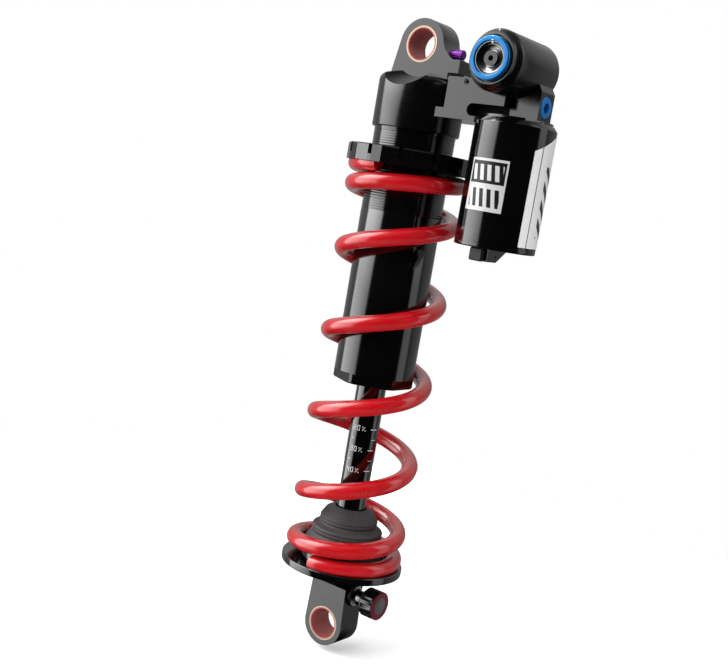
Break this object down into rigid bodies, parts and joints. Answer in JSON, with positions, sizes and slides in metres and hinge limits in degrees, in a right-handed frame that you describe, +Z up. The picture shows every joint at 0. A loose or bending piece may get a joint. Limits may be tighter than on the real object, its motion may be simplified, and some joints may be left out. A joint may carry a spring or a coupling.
{
  "type": "rear shock absorber",
  "caption": "Coil-over rear shock for a full-suspension bicycle: piggyback reservoir, threaded preload collar, open coil spring, rubber bumper and adjuster dials between two eyelets.",
  "frame": {"origin": "centre of the upper eye bore", "axes": "+Z up along the shock's axis from the lower eye to the upper eye; +Y along both eye bores; +X toward the reservoir"},
  "size_m": [0.09, 0.0542, 0.2702],
  "materials": {
    "black_anodised": "gloss black anodised",
    "satin_anodised": "satin black anodised",
    "black_shaft": "polished black coating",
    "spring_red": "gloss red powder coat",
    "bronze": "machined",
    "red_liner": "polymer liner",
    "rubber": "matte black",
    "steel": "machined",
    "chrome": "polished",
    "clear_aluminium": "machined",
    "blue_anodised": "blue anodised",
    "purple_anodised": "purple anodised",
    "red_anodised": "red anodised",
    "black_plastic": "satin",
    "silver_foil": "printed foil"
  },
  "bodies": {
    "damper": {"shock_head": "satin_anodised", "gallery_plug": "steel", "upper_eye_bushing": "bronze", "upper_eye_liner": "red_liner", "damper_tube": "black_anodised", "seal_head": "black_anodised", "head_o_ring": "rubber", "seal_head_o_ring": "rubber", "shaft_bushing": "bronze", "shaft_seal": "rubber", "wiper_seal": "rubber", "bottom_out_cup": "clear_aluminium", "reservoir_tube": "black_anodised", "reservoir_end_cap": "black_anodised", "end_cap_o_ring": "rubber", "end_cap_wire_ring": "steel", "air_valve_body": "steel", "valve_core": "bronze", "valve_cap": "black_plastic", "reservoir_patch": "silver_foil", "reservoir_stripe": "silver_foil", "dial_bezel": "black_anodised", "compression_valve_body": "clear_aluminium", "valve_o_ring": "rubber", "compression_valve_shims": "steel", "compression_valve_bolt": "steel", "coil_spring": "spring_red"},
    "compression_dial": {"compression_dial": "blue_anodised", "compression_dial_stem": "clear_aluminium"},
    "high_speed_screw": {"high_speed_screw": "black_anodised"},
    "side_adjuster": {"side_adjuster": "blue_anodised"},
    "bottom_out_dial": {"bottom_out_dial": "purple_anodised"},
    "floating_piston": {"floating_piston": "clear_aluminium", "floating_piston_o_ring": "rubber", "floating_piston_bleed_screw": "steel"},
    "spring_guide": {"spring_guide": "black_plastic"},
    "preload_collar": {"preload_collar": "black_anodised"},
    "shaft_assembly": {"damper_shaft": "black_shaft", "lower_eyelet": "satin_anodised", "lower_eye_bushing": "bronze", "lower_eye_liner": "red_liner", "adjuster_sleeve": "chrome", "lower_spring_perch": "black_anodised", "perch_retaining_ring": "steel", "bottom_out_bumper": "rubber", "main_piston": "clear_aluminium", "piston_glide_band": "black_plastic", "rebound_shims": "steel", "compression_shims": "steel", "piston_bolt": "steel", "top_out_bumper": "rubber", "bottom_out_piston": "clear_aluminium"},
    "rebound_rod": {"rebound_rod": "clear_aluminium"},
    "rebound_knob": {"rebound_spindle": "chrome", "rebound_knob": "black_anodised", "rebound_knob_ring": "red_anodised", "rebound_knob_disc": "clear_aluminium"}
  },
  "joints": [
    {"name": "shaft_slide", "type": "slide", "parent": "damper", "child": "shaft_assembly", "axis": [0, 0, 1], "range_m": [0, 0.0675], "stiffness_N_per_m": 70000, "springref_m": -0.001, "deforming": ["coil_spring", "bottom_out_bumper"]},
    {"name": "floating_piston_slide", "type": "slide", "parent": "damper", "child": "floating_piston", "axis": [0, 0, -1], "range_m": [0, 0.016]},
    {"name": "preload_travel", "type": "slide", "parent": "damper", "child": "spring_guide", "axis": [0, 0, 1], "range_m": [0, 0.006]},
    {"name": "preload_turn", "type": "hinge", "parent": "spring_guide", "child": "preload_collar", "pos_m": [0, 0, -0.046], "axis": [0, 0, 1], "range_deg": [0, 2161]},
    {"name": "compression_dial_turn", "type": "hinge", "parent": "damper", "child": "compression_dial", "pos_m": [0.046, -0.0276, -0.0064], "axis": [0, -1, 0], "range_deg": [-120, 120]},
    {"name": "high_speed_turn", "type": "hinge", "parent": "damper", "child": "high_speed_screw", "pos_m": [0.046, -0.0265, -0.0064], "axis": [0, -1, 0], "range_deg": [-180, 180]},
    {"name": "side_adjuster_turn", "type": "hinge", "parent": "damper", "child": "side_adjuster", "pos_m": [0.0585, 0, -0.0199], "axis": [1, 0, 0], "range_deg": [-360, 360]},
    {"name": "bottom_out_turn", "type": "hinge", "parent": "damper", "child": "bottom_out_dial", "pos_m": [0.0186, -0.002, -0.0026], "axis": [1, 0, 0], "range_deg": [-180, 180]},
    {"name": "rebound_turn", "type": "hinge", "parent": "shaft_assembly", "child": "rebound_knob", "pos_m": [0.024, 0, -0.2353], "axis": [1, 0, 0], "range_deg": [0, 720]},
    {"name": "rebound_rod_lift", "type": "slide", "parent": "shaft_assembly", "child": "rebound_rod", "axis": [0, 0, 1], "range_m": [0, 0.00125]}
  ],
  "couplings": [
    {"joint": "floating_piston_slide", "follows": "shaft_slide", "ratio": 0.1972},
    {"joint": "preload_turn", "follows": "preload_travel", "rad_per_m": 6283.2},
    {"joint": "rebound_turn", "follows": "rebound_rod_lift", "rad_per_m": 10000}
  ]
}
